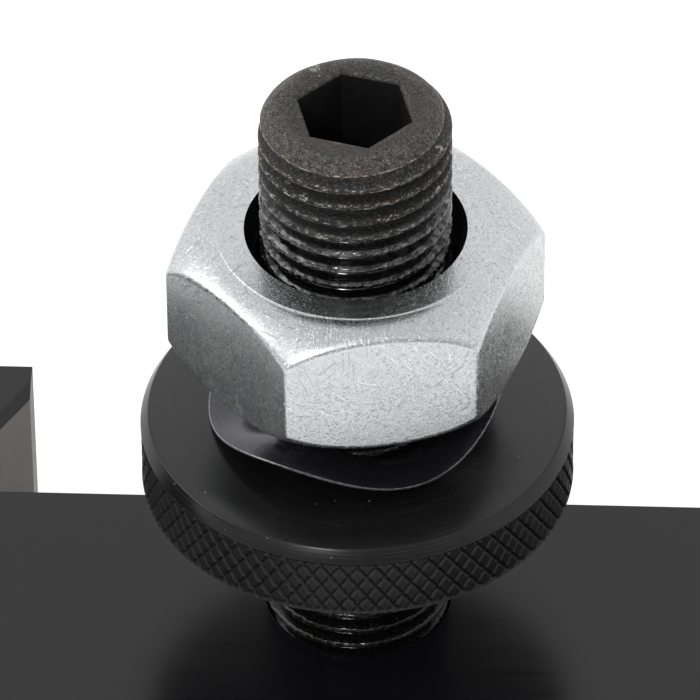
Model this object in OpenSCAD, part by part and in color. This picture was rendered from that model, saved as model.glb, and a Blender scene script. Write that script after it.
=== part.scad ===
// Quick change tool post for a small lathe: a piston-locked post on its T-nut, and one turning
// tool holder that stands beside it with its height-setting stud, nuts and clamp screws.
// The origin is on the post's swivel axis, at the underside of the T-nut. +Z is up, the turning
// dovetail faces -Y and the boring dovetail faces -X. Sizes are in millimetres.

/* [T-nut and centre stud] */
// Length of the T-nut along the cross slide
tnut_length = 64; // [60:1:76]
// Width of the T-nut
tnut_width = 44; // [38:1:50]
// Thickness of the T-nut
tnut_thick = 12.7; // [10:0.1:16]
// Diameter of the centre stud
stud_d = 14; // [12:1:14]

/* [Post] */
// Width and depth of the square post
post_w = 54; // [52:1:58]
// Height of the post
post_h = 57; // [54:1:64]
// Diameter of the bore that holds the cam sleeve
cam_bore_d = 34; // [32:0.5:35]
// Diameter of each locking piston
piston_d = 16; // [14:0.5:18]

/* [Dovetail] */
// Height of the male dovetail above the post's face
dovetail_h = 9.8; // [9:0.1:10]
// Width of the male dovetail at its outer face
dovetail_w = 45.6; // [45:0.1:45.8]
// Slope of the flanks from the post's face
flank_angle = 60; // [60]

/* [Cam sleeve and handle] */
// Diameter of the hub above the post
hub_d = 46; // [45:0.5:50]
// Height of the hub
hub_h = 15; // [14:0.5:18]
// Turn of the handle from free to locked
lock_angle = 75; // [70:1:76]
// Outward travel of each piston
piston_travel = 1.2; // [0.8:0.1:1.3]
// Length of the handle rod outside the hub
rod_reach = 46; // [40:1:48]
// Diameter of the handle rod
rod_d = 9; // [8:0.5:9.5]
// Rise of the handle above level
rod_rise = 20; // [15:1:22]
// Length of the handle knob
knob_length = 30; // [26:1:32]
// Largest diameter of the handle knob
knob_d = 17.5; // [16:0.5:19]

/* [Tool holder] */
// Length of the holder along the tool
holder_l = 75; // [72:1:78]
// Height of the holder
holder_h = 35; // [34:1:38]
// Distance from the post's axis to the holder's stud axis
holder_x = 135; // [134:1:150]
// Reach of the holder in front of the stud axis
holder_front = 23.5; // [23:0.1:26]
// Distance from the stud axis back to the floor of the dovetail groove
groove_floor_y = 7.1; // [6.8:0.05:7.2]
// Depth of the dovetail groove
groove_depth = 10.2; // [10.2:0.05:10.8]
// Width of the groove at its open face
groove_mouth = 37.2; // [37.2:0.1:38]
// Width of the upright flat on each tip of the groove
groove_tip = 2.2; // [1.5:0.1:2.2]
// Height of the tool slot
slot_h = 13; // [12:0.5:13.5]
// Height of the tool slot's floor above the holder's underside
slot_z = 10; // [9.5:0.5:10.5]
// Distance from the stud axis forward to the slot's inner wall
slot_wall_y = 10.5; // [10:0.1:11]

/* [Height setting stud and nuts] */
// Thread diameter of the height stud
height_d = 10; // [10]
// Height of the stud above the holder's top
height_reach = 33.1; // [33:0.1:35]
// Width across the flats of the stud's socket
height_socket = 5.2; // [5:0.1:5.5]
// Diameter of the knurled thumb nut
thumb_d = 22.6; // [22:0.1:23]
// Height of the thumb nut's underside above the holder's top
thumb_z = 8.6; // [8:0.05:9]
// Thickness of the thumb nut
thumb_h = 4.35; // [4:0.05:4.4]
// Width across the flats of the lock nut
lock_flats = 17; // [17]
// Height of the lock nut
lock_h = 8; // [8]
// Height of the lock nut's underside above the holder's top
lock_z = 17.3; // [17.2:0.1:18.5]

/* [Spring washer] */
// Outside diameter of the spring washer
spring_od = 15.5; // [15.4:0.1:16.4]
// Inside diameter of the spring washer
spring_id = 10.8; // [10.6:0.1:11]
// Thickness of its strip
spring_t = 0.25; // [0.2:0.05:0.3]
// Rise of each wave from trough to crest
spring_wave = 1.6; // [1:0.1:1.6]

/* [Clamp screws] */
// Thread diameter of each clamp screw
clamp_d = 8; // [8]
// Length of each clamp screw
clamp_l = 14; // [14:0.5:14.5]
// Spacing of the clamp screws along the tool
clamp_pitch = 17.5; // [16:0.5:18]
// Distance from the stud axis forward to the row of screws
clamp_y = 17.3; // [17:0.1:17.6]

/* [Hidden] */
$fn = 96;

// Overrun of cutting tools past a face
over = 1;
// Overrun of a countersink past a face
sliver = 0.01;
// Radial clearance of parts that turn or slide in a bore
running = 0.05;
// Clearance on the diameter of parts that stay fixed in a bore
fixed = 0.02;
// Gap that keeps two faces of different bodies apart
face_gap = 0.1;
// Chamfer on the ends of turned parts
turned_edge = 1;

// Post
post_z = tnut_thick + running;
post_top = post_z + post_h;
edge_chamfer = 0.8;
corner_chamfer = 7;
dovetail_slope = dovetail_h / tan(flank_angle);
dovetail_root = dovetail_w - 2 * dovetail_slope;
dovetail_y = post_w / 2 + dovetail_h;
post_floor = 6;
piston_z = post_z + post_h / 2;

// Cam sleeve
cam_low = 13.5;
cam_high = cam_low + piston_travel;
cam_band_h = 9;
cam_gap = 0.4;
nose_d = 5;
piston_back_gap = 1.6;
crest_angle = 1;
hub_z = post_top + face_gap;
hub_top = hub_z + hub_h;
sleeve_z = post_z + post_floor + face_gap;
rod_axis_z = hub_z + hub_h / 2 - hub_d / 2 * tan(rod_rise);
rest_direction = -40;
rod_inner = 14;
rod_seat = 0.5;
rod_end = hub_d / 2 + rod_reach;
knob_wall = 1.5;
knob_air = 0.2;

// Stop pin and its slot under the hub
pin_radius = 20;
pin_d = 3;
pin_angle = 135;
pin_up = 2.5;
pin_down = 7;
pin_margin = 6.5;
pin_seat = 0.2;
pin_side_gap = 0.4;
pin_top_gap = 0.7;

// Bush, washer and centre nut
bush_od = 20;
bush_flange_d = 28;
bush_flange_h = 3;
bush_lift = 0.2;
bush_top = hub_top + 3 * face_gap;
washer_h = 3;
washer_od = 30;
nut_flats = 22;
nut_h = 11;
nut_z = bush_top + washer_h;
washer_edge = 0.6;
washer_play = 0.6;
countersink = 0.8;
// Flat circle on a nut's face as a share of its flats
nut_flat_share = 0.445;
stud_rise = 4;
stud_top = nut_z + nut_h + stud_rise;

// Holder
holder_back = groove_floor_y + groove_depth;
groove_root = groove_mouth + 2 * (groove_depth - groove_tip) / tan(flank_angle);
holder_edge = 0.35;
flank_edge = 0.5;
stud_depth = 19;
stud_air = 0.5;
height_socket_depth = 6;
socket_turn = -15.1;
lock_turn = 11.2;
thumb_edge = 0.4;

// Clamp screws
clamp_count = 4;
clamp_turns = [12, 40, 3, 25];
clamp_socket = 4;
clamp_socket_depth = 4;
clamp_edge = 0.8;
clamp_lift = 0.3;

// Spring washer shape
wave_count = 3;
wave_phase = 2.6;
tilt_slope = 0.09;
tilt_angle = 24.6;
spring_lift = 1.7;
spring_mid_z = thumb_z + thumb_h + spring_lift;
ring_steps = 60;

// Box with a 45 degree chamfer round its top edge, centred on Z
module chamfered_block(width, depth, height, chamfer) {
    straight = height - chamfer;
    intersection() {
        translate([-width / 2, -depth / 2, 0]) cube([width, depth, height]);
        rotate([90, 0, 0]) linear_extrude(depth, center = true)
            polygon([[-width / 2, 0], [width / 2, 0], [width / 2, straight],
                     [width / 2 - chamfer, height], [chamfer - width / 2, height],
                     [-width / 2, straight]]);
        rotate([90, 0, 90]) linear_extrude(width, center = true)
            polygon([[-depth / 2, 0], [depth / 2, 0], [depth / 2, straight],
                     [depth / 2 - chamfer, height], [chamfer - depth / 2, height],
                     [-depth / 2, straight]]);
    }
}

// Hexagonal prism standing on z = 0
module hex_prism(flats, height) {
    cylinder(d = flats / cos(30), h = height, $fn = 6);
}

// Hexagon nut with 30 degree chamfers on both faces and a countersunk bore
module hex_nut(flats, height, bore_d) {
    corner_r = flats / sqrt(3);
    outer_r = corner_r + over;
    flat_r = flats * nut_flat_share;
    drop = (outer_r - flat_r) * tan(30);
    difference() {
        intersection() {
            hex_prism(flats, height);
            rotate_extrude()
                polygon([[0, 0], [flat_r, 0], [outer_r, drop],
                         [outer_r, height - drop], [flat_r, height], [0, height]]);
        }
        translate([0, 0, -over]) cylinder(d = bore_d, h = height + 2 * over);
        for (end = [0, 1])
            translate([0, 0, end * height]) mirror([0, 0, end]) translate([0, 0, -sliver])
                cylinder(d1 = bore_d + 2 * countersink, d2 = bore_d, h = countersink);
    }
}

// Screw with a rounded end and a hexagon socket in its top face
module socket_screw(diameter, length, socket, socket_depth, edge) {
    difference() {
        union() {
            cylinder(d1 = diameter - 2 * edge, d2 = diameter, h = edge);
            translate([0, 0, edge]) cylinder(d = diameter, h = length - 2 * edge);
            translate([0, 0, length - edge])
                cylinder(d1 = diameter, d2 = diameter - 2 * edge, h = edge);
        }
        translate([0, 0, length - socket_depth]) hex_prism(socket, socket_depth + over);
    }
}

// Sector of an annulus that stands on z = 0
module ring_sector(r_in, r_out, height, start, sweep) {
    rotate(start) rotate_extrude(angle = sweep)
        translate([r_in, 0]) square([r_out - r_in, height]);
}

module t_nut() {
    color("dimgray")
        difference() {
            translate([-tnut_length / 2, -tnut_width / 2, 0])
                cube([tnut_length, tnut_width, tnut_thick]);
            translate([0, 0, -over]) cylinder(d = stud_d + fixed, h = tnut_thick + 2 * over);
        }
}

module center_stud() {
    color("silver") {
        cylinder(d = stud_d, h = stud_top - turned_edge);
        translate([0, 0, stud_top - turned_edge])
            cylinder(d1 = stud_d, d2 = stud_d - 2 * turned_edge, h = turned_edge);
    }
}

// Male dovetail on the face that looks along -Y
module male_dovetail() {
    inside = post_w / 2 - over;
    translate([0, 0, post_z]) linear_extrude(post_h - edge_chamfer)
        polygon([[-dovetail_root / 2, -inside], [-dovetail_root / 2, -post_w / 2],
                 [-dovetail_w / 2, -dovetail_y], [dovetail_w / 2, -dovetail_y],
                 [dovetail_root / 2, -post_w / 2], [dovetail_root / 2, -inside]]);
}

module post_body() {
    color([0.2, 0.2, 0.21])
        difference() {
            union() {
                translate([0, 0, post_z]) chamfered_block(post_w, post_w, post_h, edge_chamfer);
                male_dovetail();
                rotate(-90) male_dovetail();
            }
            translate([post_w / 2, post_w / 2, post_z - over]) rotate(45)
                cube([corner_chamfer * sqrt(2), 3 * corner_chamfer, 3 * post_h], center = true);
            translate([0, 0, post_z + post_floor]) cylinder(d = cam_bore_d, h = post_h);
            translate([0, 0, post_z - over]) cylinder(d = bush_od + fixed, h = post_h);
            for (turn = [0, -90])
                rotate(turn) translate([0, 0, piston_z]) rotate([90, 0, 0])
                    cylinder(d = piston_d + 2 * running, h = dovetail_y + over);
            rotate(pin_angle) translate([pin_radius, 0, post_top - pin_down])
                cylinder(d = pin_d + fixed, h = pin_down + over);
        }
}

module center_bush() {
    color("lightgray")
        difference() {
            union() {
                translate([0, 0, post_z + bush_lift])
                    cylinder(d = bush_od, h = bush_top - post_z - bush_lift);
                translate([0, 0, sleeve_z]) cylinder(d = bush_flange_d, h = bush_flange_h);
            }
            cylinder(d = stud_d + 2 * running, h = stud_top);
        }
}

module stop_pin() {
    color("gray")
        rotate(pin_angle) translate([pin_radius, 0, post_top - pin_down + pin_seat])
            cylinder(d = pin_d, h = pin_down + pin_up - pin_seat);
}

// Radius of the cam at an angle round it: a spiral rise that starts at one piston's rest angle
function cam_radius(a, start) =
    let (turned = (a - start + 360) % 360)
    turned < lock_angle ? cam_low + piston_travel * turned / lock_angle
    : turned < lock_angle + crest_angle ? cam_high
    : cam_low;

module cam_outline() {
    step = 2.5;
    polygon([for (a = [0 : step : 360 - step])
        let (r = max(cam_radius(a, 180), cam_radius(a, 270)))
        [r * cos(a), r * sin(a)]]);
}

// Everything on the handle's axis is drawn along +X and then tipped up and turned to its place
module on_handle_axis() {
    rotate(rest_direction) translate([0, 0, rod_axis_z])
        rotate([0, 90 - rod_rise, 0]) children();
}

module cam_sleeve() {
    journal_r = cam_bore_d / 2 - running;
    band_z = piston_z - cam_band_h / 2;
    skirt_z = sleeve_z + bush_flange_h + 2 * face_gap;
    color([0.24, 0.24, 0.25])
        difference() {
            union() {
                translate([0, 0, skirt_z]) cylinder(r = journal_r, h = band_z - skirt_z);
                translate([0, 0, band_z]) linear_extrude(cam_band_h) cam_outline();
                translate([0, 0, band_z + cam_band_h])
                    cylinder(r = journal_r, h = hub_z - band_z - cam_band_h + over);
                translate([0, 0, hub_z]) cylinder(d = hub_d, h = hub_h - turned_edge);
                translate([0, 0, hub_top - turned_edge])
                    cylinder(d1 = hub_d, d2 = hub_d - 2 * turned_edge, h = turned_edge);
            }
            cylinder(d = bush_od + 2 * running, h = stud_top);
            translate([0, 0, hub_z - over])
                ring_sector(pin_radius - pin_d / 2 - pin_side_gap,
                            pin_radius + pin_d / 2 + pin_side_gap,
                            over + pin_up + pin_top_gap, pin_angle - pin_margin,
                            lock_angle + 2 * pin_margin);
            on_handle_axis() translate([0, 0, rod_inner - rod_seat])
                cylinder(d = rod_d + fixed, h = hub_d);
        }
}

module handle_rod() {
    color("silver")
        on_handle_axis() rotate_extrude()
            polygon([[0, rod_inner], [rod_d / 2 - turned_edge, rod_inner],
                     [rod_d / 2, rod_inner + turned_edge], [rod_d / 2, rod_end - turned_edge],
                     [rod_d / 2 - turned_edge, rod_end], [0, rod_end]]);
}

module handle_knob() {
    neck_r = rod_d / 2 + knob_wall;
    start = rod_end - knob_length / 2;
    finish = start + knob_length;
    swell = knob_d / 2;
    edge = 0.6;
    color([0.08, 0.08, 0.08])
        on_handle_axis() difference() {
            rotate_extrude()
                polygon([[0, start], [neck_r - edge, start], [neck_r, start + edge],
                         for (a = [0 : 9 : 90])
                             [neck_r + (swell - neck_r) * sin(a),
                              start + 1 + (knob_length - 1 - swell) * a / 90],
                         for (a = [15 : 15 : 90]) [swell * cos(a), finish - swell + swell * sin(a)]]);
            translate([0, 0, start - over])
                cylinder(d = rod_d + fixed, h = rod_end - start + over + knob_air);
        }
}

// Locking piston that slides along -Y
module piston() {
    back = cam_bore_d / 2 + piston_back_gap;
    nose_end = cam_low + cam_gap;
    nose_edge = 0.6;
    face_edge = 0.5;
    translate([0, 0, piston_z]) rotate([90, 0, 0]) rotate_extrude()
        polygon([[0, nose_end], [nose_d / 2 - nose_edge, nose_end],
                 [nose_d / 2, nose_end + nose_edge], [nose_d / 2, back], [piston_d / 2, back],
                 [piston_d / 2, dovetail_y - face_edge], [piston_d / 2 - face_edge, dovetail_y],
                 [0, dovetail_y]]);
}

module piston_front() {
    color("gainsboro") piston();
}

module piston_side() {
    color("gainsboro") rotate(-90) piston();
}

module top_washer() {
    color("silver")
        translate([0, 0, bush_top]) difference() {
            union() {
                cylinder(d = washer_od, h = washer_h - washer_edge);
                translate([0, 0, washer_h - washer_edge])
                    cylinder(d1 = washer_od, d2 = washer_od - 2 * washer_edge, h = washer_edge);
            }
            translate([0, 0, -over]) cylinder(d = stud_d + washer_play, h = washer_h + 2 * over);
        }
}

module center_nut() {
    color("silver")
        translate([0, 0, nut_z]) hex_nut(nut_flats, nut_h, stud_d + 2 * running);
}

// Female dovetail groove that opens towards +Y, in the holder's own frame
module groove_cut() {
    narrow = groove_mouth / 2;
    wide = groove_root / 2;
    translate([0, 0, -over]) linear_extrude(holder_h + 2 * over)
        polygon([[-wide, groove_floor_y], [wide, groove_floor_y],
                 [narrow, holder_back - groove_tip], [narrow, holder_back + over],
                 [-narrow, holder_back + over], [-narrow, holder_back - groove_tip]]);
}

// Small 45 degree chamfer along the top edge of each flank of the groove
module flank_chamfer() {
    narrow = groove_mouth / 2;
    wide = groove_root / 2;
    run = [narrow - wide, groove_depth - groove_tip];
    for (side = [0, 1])
        mirror([side, 0, 0]) translate([wide, groove_floor_y, holder_h])
            rotate(atan2(run.y, run.x)) rotate([0, 90, 0])
                linear_extrude(norm(run) + 2 * over)
                    polygon([[flank_edge, 0], [0, -flank_edge], [-over, -flank_edge], [-over, over],
                             [flank_edge, over]]);
}

// Place of a clamp screw along the holder, from the stud axis
function clamp_x(index) = (index - (clamp_count - 1) / 2) * clamp_pitch;

module holder_body() {
    depth = holder_front + holder_back;
    mid_y = (holder_back - holder_front) / 2;
    color([0.17, 0.17, 0.18])
        translate([holder_x, 0, 0]) difference() {
            translate([0, mid_y, 0]) chamfered_block(holder_l, depth, holder_h, holder_edge);
            groove_cut();
            flank_chamfer();
            translate([-holder_l, -holder_front - over, slot_z])
                cube([2 * holder_l, holder_front + over - slot_wall_y, slot_h]);
            translate([0, 0, holder_h - stud_depth - stud_air])
                cylinder(d = height_d + fixed, h = stud_depth + over);
            for (index = [0 : clamp_count - 1])
                translate([clamp_x(index), -clamp_y, slot_z + slot_h - over])
                    cylinder(d = clamp_d + 2 * running, h = holder_h);
        }
}

module height_stud() {
    color([0.16, 0.15, 0.14])
        translate([holder_x, 0, holder_h - stud_depth]) rotate(socket_turn)
            socket_screw(height_d, stud_depth + height_reach, height_socket, height_socket_depth,
                         turned_edge);
}

module thumb_nut() {
    color([0.12, 0.12, 0.12])
        translate([holder_x, 0, holder_h + thumb_z]) difference() {
            union() {
                cylinder(d1 = thumb_d - 2 * thumb_edge, d2 = thumb_d, h = thumb_edge);
                translate([0, 0, thumb_edge]) cylinder(d = thumb_d, h = thumb_h - 3 * thumb_edge);
                translate([0, 0, thumb_h - 2 * thumb_edge])
                    cylinder(d1 = thumb_d, d2 = thumb_d - 2 * thumb_edge, h = 2 * thumb_edge);
            }
            translate([0, 0, -over]) cylinder(d = height_d + 2 * running, h = thumb_h + 2 * over);
        }
}

// Height of the washer's mid-plane at an angle: three even waves and a slight tilt to one side
function spring_z(a, r) =
    spring_mid_z + spring_wave / 2 * cos(wave_count * (a - wave_phase))
    + tilt_slope * r * cos(a - tilt_angle);

module spring_washer() {
    radii = [spring_id / 2, spring_od / 2, spring_od / 2, spring_id / 2];
    sides = [-1, -1, 1, 1];
    points = [for (i = [0 : ring_steps - 1]) for (k = [0 : 3])
        let (a = i * 360 / ring_steps)
        [radii[k] * cos(a), radii[k] * sin(a), spring_z(a, radii[k]) + sides[k] * spring_t / 2]];
    faces = [for (i = [0 : ring_steps - 1]) for (k = [0 : 3])
        let (here = 4 * i, next = 4 * ((i + 1) % ring_steps), k2 = (k + 1) % 4)
        each [[here + k, here + k2, next + k2], [here + k, next + k2, next + k]]];
    color([0.3, 0.3, 0.33])
        translate([holder_x, 0, holder_h]) polyhedron(points, faces);
}

module lock_nut() {
    color("lightgray")
        translate([holder_x, 0, holder_h + lock_z]) rotate(lock_turn)
            hex_nut(lock_flats, lock_h, height_d + 2 * running);
}

module clamp_screw(index) {
    color([0.15, 0.15, 0.16])
        translate([holder_x + clamp_x(index), -clamp_y, slot_z + slot_h + clamp_lift])
            rotate(clamp_turns[index])
                socket_screw(clamp_d, clamp_l, clamp_socket, clamp_socket_depth, clamp_edge);
}

t_nut();
center_stud();
post_body();
center_bush();
stop_pin();
cam_sleeve();
handle_rod();
handle_knob();
piston_front();
piston_side();
top_washer();
center_nut();
holder_body();
height_stud();
thumb_nut();
spring_washer();
lock_nut();
clamp_screw(0);  // clamp_screw_1
clamp_screw(1);  // clamp_screw_2
clamp_screw(2);  // clamp_screw_3
clamp_screw(3);  // clamp_screw_4
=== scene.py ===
"""Looks of a quick change tool post and its loose tool holder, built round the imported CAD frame."""

import math

import bmesh
import bpy
from mathutils import Matrix, Vector, noise


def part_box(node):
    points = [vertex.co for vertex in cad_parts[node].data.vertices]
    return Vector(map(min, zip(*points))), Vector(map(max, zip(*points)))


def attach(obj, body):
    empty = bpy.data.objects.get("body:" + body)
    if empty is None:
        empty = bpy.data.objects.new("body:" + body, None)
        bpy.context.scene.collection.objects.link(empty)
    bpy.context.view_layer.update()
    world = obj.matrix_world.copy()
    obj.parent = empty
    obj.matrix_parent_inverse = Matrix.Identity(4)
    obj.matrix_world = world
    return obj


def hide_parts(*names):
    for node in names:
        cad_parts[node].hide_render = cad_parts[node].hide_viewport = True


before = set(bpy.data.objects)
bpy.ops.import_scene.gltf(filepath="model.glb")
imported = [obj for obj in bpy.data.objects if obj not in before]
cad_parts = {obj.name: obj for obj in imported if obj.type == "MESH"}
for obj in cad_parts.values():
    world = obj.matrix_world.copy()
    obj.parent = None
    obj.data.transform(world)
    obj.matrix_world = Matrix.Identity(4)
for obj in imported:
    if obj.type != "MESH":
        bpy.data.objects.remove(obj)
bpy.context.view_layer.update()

MM = 0.001
TAU = 2 * math.pi
WELD_DISTANCE = 0.0003 * MM


# ---- places read from the frame

def centre_of(node):
    low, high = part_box(node)
    return (low + high) / 2


def heights_of(node):
    """Lowest and highest point of a CAD node, in millimetres."""
    low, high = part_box(node)
    return low.z / MM, high.z / MM


stud_axis = centre_of("height_stud")
HX, HY = stud_axis.x, stud_axis.y
HOLDER_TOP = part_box("holder_body")[1].z
STUD_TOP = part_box("height_stud")[1].z


# ---- camera

CAM_AZIMUTH = 2.7
CAM_ELEVATION = 41.3
CAM_ROLL = -0.5
CAM_DISTANCE = 409.3 * MM
CAM_LENS = 406.3
AIM_HEIGHT = 15.76 * MM
AIM_LEFT = 0.355 * MM
AIM_UP = 0.887 * MM


def make_camera():
    azimuth, elevation, roll = (math.radians(a) for a in (CAM_AZIMUTH, CAM_ELEVATION, CAM_ROLL))
    back = Vector((math.sin(azimuth) * math.cos(elevation),
                   -math.cos(azimuth) * math.cos(elevation),
                   math.sin(elevation)))
    right = Vector((math.cos(azimuth), math.sin(azimuth), 0))
    up = back.cross(right)
    right, up = (right * math.cos(roll) + up * math.sin(roll),
                 up * math.cos(roll) - right * math.sin(roll))
    place = Vector((HX, HY, HOLDER_TOP + AIM_HEIGHT))
    place += back * CAM_DISTANCE - right * AIM_LEFT + up * AIM_UP
    data = bpy.data.cameras.new("camera")
    data.lens = CAM_LENS
    data.clip_start = 0.01
    data.clip_end = 20
    camera = bpy.data.objects.new("camera", data)
    turn = Matrix((right, up, back)).transposed()
    camera.matrix_world = Matrix.Translation(place) @ turn.to_4x4()
    bpy.context.collection.objects.link(camera)
    bpy.context.scene.camera = camera


make_camera()


# ---- mesh helpers

def add_object(name, mesh):
    piece = bpy.data.objects.new(name, mesh)
    bpy.context.collection.objects.link(piece)
    return piece


def build(name, verts, faces, sharp, weld=False):
    """Makes an object with its faces outward and its edges over sharp degrees kept hard. weld joins
    skins that meet point to point."""
    mesh = bpy.data.meshes.new(name)
    mesh.from_pydata(verts, [], faces)
    shape = bmesh.new()
    shape.from_mesh(mesh)
    if weld:
        bmesh.ops.remove_doubles(shape, verts=shape.verts, dist=WELD_DISTANCE)
    bmesh.ops.recalc_face_normals(shape, faces=shape.faces)
    shape.to_mesh(mesh)
    shape.free()
    mesh.shade_smooth()
    mesh.set_sharp_from_angle(angle=math.radians(sharp))
    return add_object(name, mesh)


def add_rings(verts, faces, rows, loop=False, cap_low=False, cap_high=False):
    """Adds a skin through rings of points to a growing mesh. loop joins the last ring to the first."""
    count, offset = len(rows[0]), len(verts)
    for row in rows:
        verts.extend(row)
    for i in range(len(rows) if loop else len(rows) - 1):
        here, above = offset + i * count, offset + (i + 1) % len(rows) * count
        for j in range(count):
            k = (j + 1) % count
            faces.append((here + j, here + k, above + k, above + j))
    if cap_low:
        faces.append(tuple(reversed(range(offset, offset + count))))
    if cap_high:
        faces.append(tuple(range(offset + (len(rows) - 1) * count, offset + len(rows) * count)))


def ring_solid(name, rows, loop=False, sharp=30):
    """A solid through rings of points: closed on itself with loop, or else capped at both ends."""
    verts, faces = [], []
    add_rings(verts, faces, rows, loop, cap_low=not loop, cap_high=not loop)
    return build(name, verts, faces, sharp)


def circle_angles(count, start=0.0):
    return [start + TAU * j / count for j in range(count)]


def polar(r, a, z):
    """A point in metres from its radius, angle and height, in millimetres and radians."""
    return Vector((r * math.cos(a), r * math.sin(a), z)) * MM


def lathe_ring(angles, radius_at, height_at):
    """One ring of points: radius_at and height_at give millimetres for an angle."""
    return [polar(radius_at(a), a, height_at(a)) for a in angles]


def round_rings(angles, profile):
    """A true circle of points for each (radius, height) in millimetres."""
    return [[polar(r, a, z) for a in angles] for r, z in profile]


def turned(name, profile, centre=(0, 0, 0), steps=128, loop=False, sharp=30, turn=Matrix()):
    """A lathe-turned solid: profile is a list of (radius, height) in millimetres."""
    piece = ring_solid(name, round_rings(circle_angles(steps), profile), loop=loop, sharp=sharp)
    piece.data.transform(Matrix.Translation(centre) @ turn)
    return piece


def arc(cx, cz, radius, start, end, steps):
    """Points on an arc in a turned profile, angles in degrees."""
    return [(cx + radius * math.cos(math.radians(start + (end - start) * i / steps)),
             cz + radius * math.sin(math.radians(start + (end - start) * i / steps)))
            for i in range(steps + 1)]


def shift(piece, x, y, z):
    piece.data.transform(Matrix.Translation((x, y, z)))


def freeze(piece):
    """Applies every modifier of a piece."""
    graph = bpy.context.evaluated_depsgraph_get()
    mesh = bpy.data.meshes.new_from_object(piece.evaluated_get(graph))
    piece.modifiers.clear()
    piece.data = mesh


def rectangle(low_x, low_y, high_x, high_y):
    return [(low_x, low_y), (high_x, low_y), (high_x, high_y), (low_x, high_y)]


def prism(name, outline, z_low, z_high):
    """Upright prism over an outline of (x, y) in metres."""
    rows = [[Vector((x, y, z)) for x, y in outline] for z in (z_low, z_high)]
    return ring_solid(name, rows)


def combine(piece, other, operation):
    """Joins, or cuts with, another solid, which is used up."""
    step = piece.modifiers.new(operation, "BOOLEAN")
    step.operation = operation
    step.solver = "EXACT"
    step.object = other
    freeze(piece)
    bpy.data.objects.remove(other)


def cut(piece, cutter):
    combine(piece, cutter, "DIFFERENCE")


def soften(piece, width, segments=3):
    """Rounds every hard edge of a piece; the new faces take its second material."""
    hard_angle = 28
    piece.data.materials.append(None)
    piece.data.materials.append(None)
    step = piece.modifiers.new("soften", "BEVEL")
    step.width = width * MM
    step.segments = segments
    step.limit_method = "ANGLE"
    step.angle_limit = math.radians(hard_angle)
    step.harden_normals = True
    step.use_clamp_overlap = True
    step.material = 1
    freeze(piece)


def edge_cutter(start, end, inward, size):
    """Three-sided cutter that chamfers an upright solid's top edge from start to end."""
    over = 1 * MM
    along = (end - start).normalized() * over
    section = (inward * size, Vector((0, 0, -size)), (Vector((0, 0, 1)) - inward) * over)
    rows = [[place + offset for offset in section] for place in (start - along, end + along)]
    return ring_solid("cutter", rows)


def rod_cutter(radius, low, high, centre=(0, 0, 0), steps=96):
    """Upright rod: radius and heights in millimetres, centre in metres."""
    return turned("cutter", [(radius, low), (radius, high)], centre, steps=steps)


# ---- threads and hexagons

# Places across one pitch with a row of points: crest, flank, root, flank, crest
THREAD_STEPS = (0.0, 0.07, 0.14, 0.21, 0.29, 0.36, 0.44, 0.56, 0.64, 0.71, 0.79, 0.86, 0.93)
# Share of half a pitch, from the root's middle, at which the flank ends, and the flank's width
FLANK_END = 0.86
FLANK_WIDTH = 0.74
# Groove depths as shares of the pitch, and the chamfer at a screw's foot in millimetres
SCREW_DEPTH = 0.60
NUT_DEPTH = 0.54
FOOT_CHAMFER = 0.8


def thread_depth(z, angle, pitch):
    """How far into the thread groove a point is: 0 on the crest, 1 at the root."""
    from_root = abs(2 * ((z / pitch - angle / TAU) % 1.0) - 1)
    fall = min(max((FLANK_END - from_root) / FLANK_WIDTH, 0.0), 1.0)
    return fall * fall * (3 - 2 * fall)


def thread_skin(verts, faces, angles, z_low, z_high, pitch, radius_at):
    """Adds an open threaded skin whose rows of points climb with the helix."""
    first = math.floor(z_low / pitch - angles[0] / TAU) - 1
    last = math.ceil(z_high / pitch - angles[0] / TAU) + 1
    turns = [n + step for n in range(first, last) for step in THREAD_STEPS]
    count, offset, per_turn = len(angles), len(verts), len(THREAD_STEPS)
    for turn in turns:
        for a in angles:
            z = min(max(pitch * (turn + a / TAU), z_low), z_high)
            verts.append(polar(radius_at(a, z), a, z))

    def index(i, j):
        if j == count:
            i, j = i + per_turn, 0
        return offset + min(i, len(turns) - 1) * count + j

    for i in range(len(turns) - 1):
        for j in range(count):
            faces.append((index(i, j), index(i, j + 1), index(i + 1, j + 1), index(i + 1, j)))


def hex_radius(angle, flats, vertex_angle, round_r=0.0):
    """Distance from the axis to a hexagon's outline, with its corners rounded by round_r."""
    apothem = flats / 2
    sector = TAU / 6
    off = (angle - vertex_angle + sector / 2) % sector - sector / 2
    corner = (apothem - round_r) / math.cos(sector / 2)
    if abs(off) < math.atan2(round_r * 0.5, corner + round_r * math.cos(sector / 2)):
        return corner * math.cos(off) + math.sqrt(round_r ** 2 - (corner * math.sin(off)) ** 2)
    return apothem / math.cos(sector / 2 - abs(off))


def limit_from(profile, length, radius):
    """Largest radius at a height, from (radius, drop) pairs that run up to the top face."""
    def limit(z):
        drop = length - z
        for (r_low, drop_low), (r_high, drop_high) in zip(profile, profile[1:]):
            if drop_high <= drop <= drop_low:
                share = (drop_low - drop) / (drop_low - drop_high)
                return r_low + (r_high - r_low) * share
        return radius if drop > profile[0][1] else profile[-1][0]
    return limit


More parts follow.
